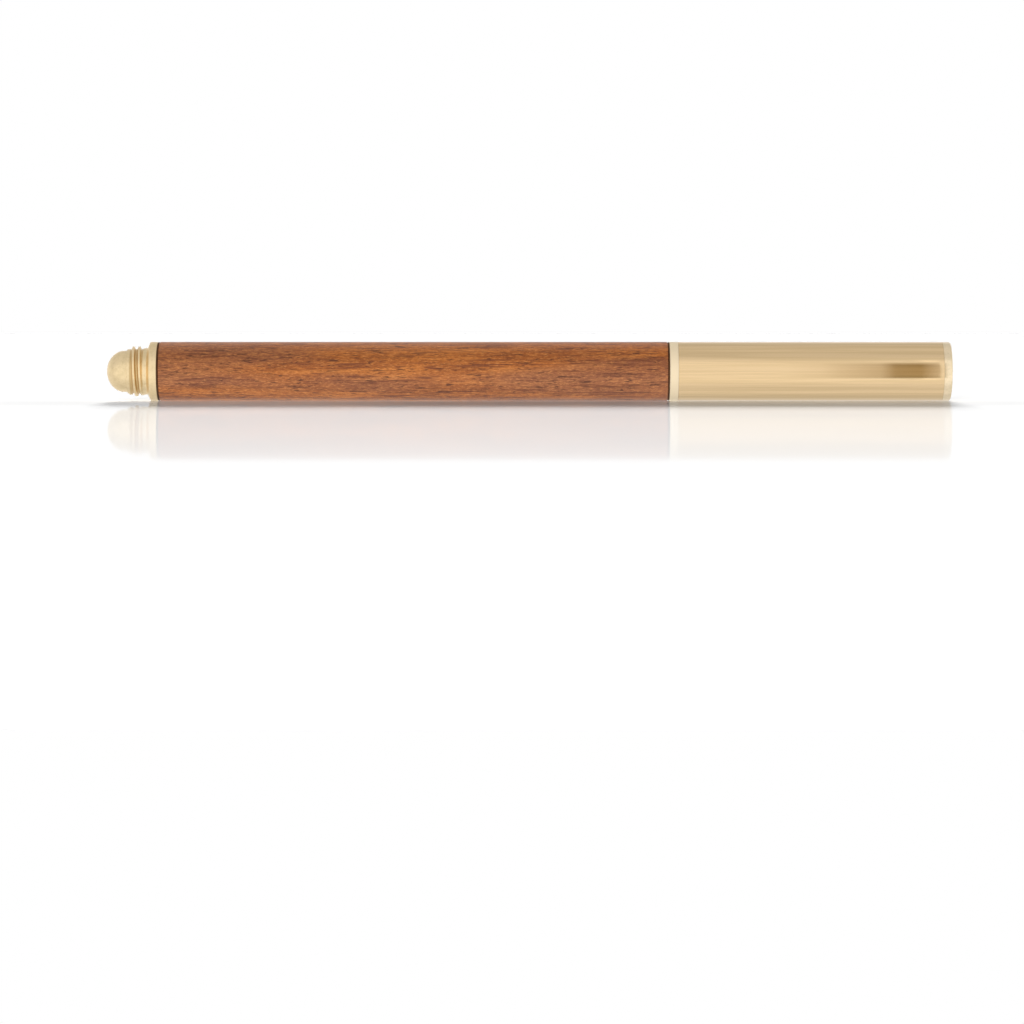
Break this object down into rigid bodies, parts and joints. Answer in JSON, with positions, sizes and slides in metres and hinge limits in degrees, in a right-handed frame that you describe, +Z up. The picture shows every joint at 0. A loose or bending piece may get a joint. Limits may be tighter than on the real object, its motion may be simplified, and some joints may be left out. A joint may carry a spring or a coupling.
{
  "type": "rollerball pen",
  "caption": "Slim round capped rollerball pen: hardwood barrel between brass fittings, threaded domed brass tail, brass screw-on cap over the writing end.",
  "frame": {"origin": "middle of the pen's length and width, on the surface that the pen lies on; the pen's axis is 5 mm above it", "axes": "+X along the pen from the threaded tail to the closed end of the cap, +Y across it, +Z up"},
  "size_m": [0.1432, 0.01, 0.01],
  "materials": {
    "hardwood": "satin",
    "turned_brass": "satin turned",
    "polished_brass": "polished",
    "inner_brass": "turned",
    "washer_rubber": "matte",
    "spring_steel": "drawn wire",
    "refill_steel": "satin",
    "tip_steel": "turned",
    "ball_metal": "polished",
    "plug_plastic": "matte",
    "nose_plastic": "moulded",
    "liner_plastic": "moulded",
    "ink_fibre": "ink-soaked fibre"
  },
  "bodies": {
    "barrel": {"wood_sleeve": "hardwood", "barrel_tube": "inner_brass", "tail_finial": "turned_brass", "tail_washer": "washer_rubber", "refill_spring": "spring_steel"},
    "section_carriage": {"front_washer": "washer_rubber"},
    "front_section": {"front_collar": "turned_brass", "grip_cone": "polished_brass"},
    "refill": {"refill_tube": "refill_steel", "refill_end_plug": "plug_plastic", "refill_nose": "nose_plastic", "ink_reservoir": "ink_fibre", "feed_wick": "ink_fibre", "tip_holder": "tip_steel"},
    "ball": {"writing_ball": "ball_metal"},
    "cap_carriage": {"inner_cap": "liner_plastic"},
    "cap": {"cap_tube": "polished_brass", "cap_thread_insert": "inner_brass", "cap_end_plug": "turned_brass"}
  },
  "joints": [
    {"name": "section_travel", "type": "slide", "parent": "barrel", "child": "section_carriage", "axis": [1, 0, 0], "range_m": [0, 0.0075]},
    {"name": "section_unscrew", "type": "hinge", "parent": "section_carriage", "child": "front_section", "pos_m": [0.0239, 0, 0.005], "axis": [1, 0, 0], "range_deg": [0, 3600]},
    {"name": "cap_travel", "type": "slide", "parent": "front_section", "child": "cap_carriage", "axis": [1, 0, 0], "range_m": [0, 0.032]},
    {"name": "cap_unscrew", "type": "hinge", "parent": "cap_carriage", "child": "cap", "pos_m": [0.0254, 0, 0.005], "axis": [1, 0, 0], "range_deg": [0, 11520]},
    {"name": "refill_push", "type": "slide", "parent": "barrel", "child": "refill", "axis": [-1, 0, 0], "range_m": [0, 0.001], "stiffness_N_per_m": 400, "springref_m": -0.0025, "deforming": ["refill_spring"]},
    {"name": "ball_roll", "type": "hinge", "parent": "refill", "child": "ball", "pos_m": [0.05165, 0, 0.005], "axis": [0, 1, 0], "continuous": true}
  ],
  "couplings": [
    {"joint": "section_unscrew", "follows": "section_travel", "rad_per_m": 8377.6},
    {"joint": "cap_unscrew", "follows": "cap_travel", "rad_per_m": 6283.2}
  ]
}
